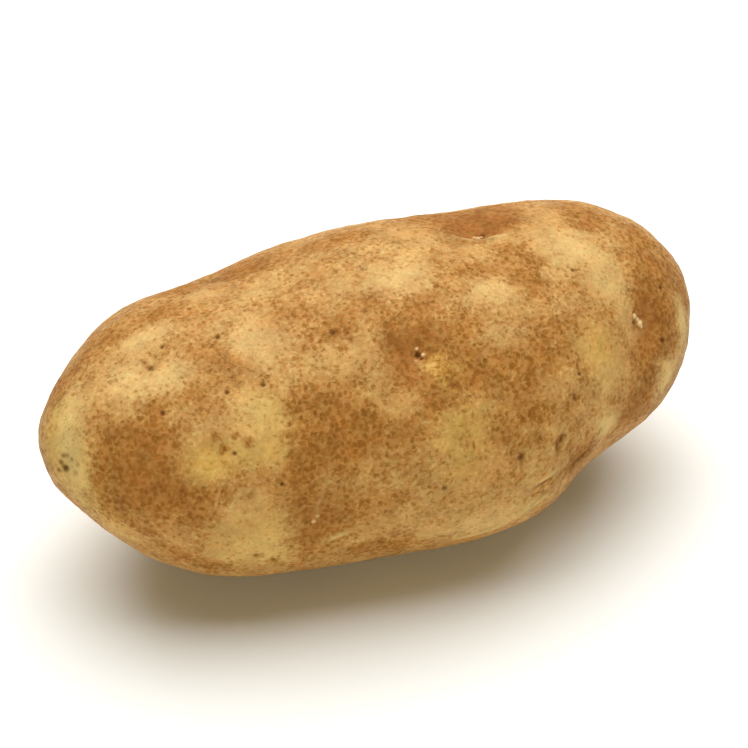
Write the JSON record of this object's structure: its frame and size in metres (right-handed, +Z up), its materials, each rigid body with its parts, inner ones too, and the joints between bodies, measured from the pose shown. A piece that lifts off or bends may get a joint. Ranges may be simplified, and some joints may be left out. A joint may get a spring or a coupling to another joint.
{
  "type": "russet potato",
  "caption": "Oblong russet potato with tan, brown-russeted skin, shallow eyes and a stem scar, lying on a small flat spot.",
  "frame": {"origin": "under the middle of the bounding box, on the surface that the flat spot rests on", "axes": "+X along the tuber from its stem end to its bud end, +Z up, +Y to the back"},
  "size_m": [0.1306, 0.0692, 0.0579],
  "materials": {
    "skin": "matte"
  },
  "bodies": {
    "root": {"tuber": "skin"}
  },
  "joints": []
}
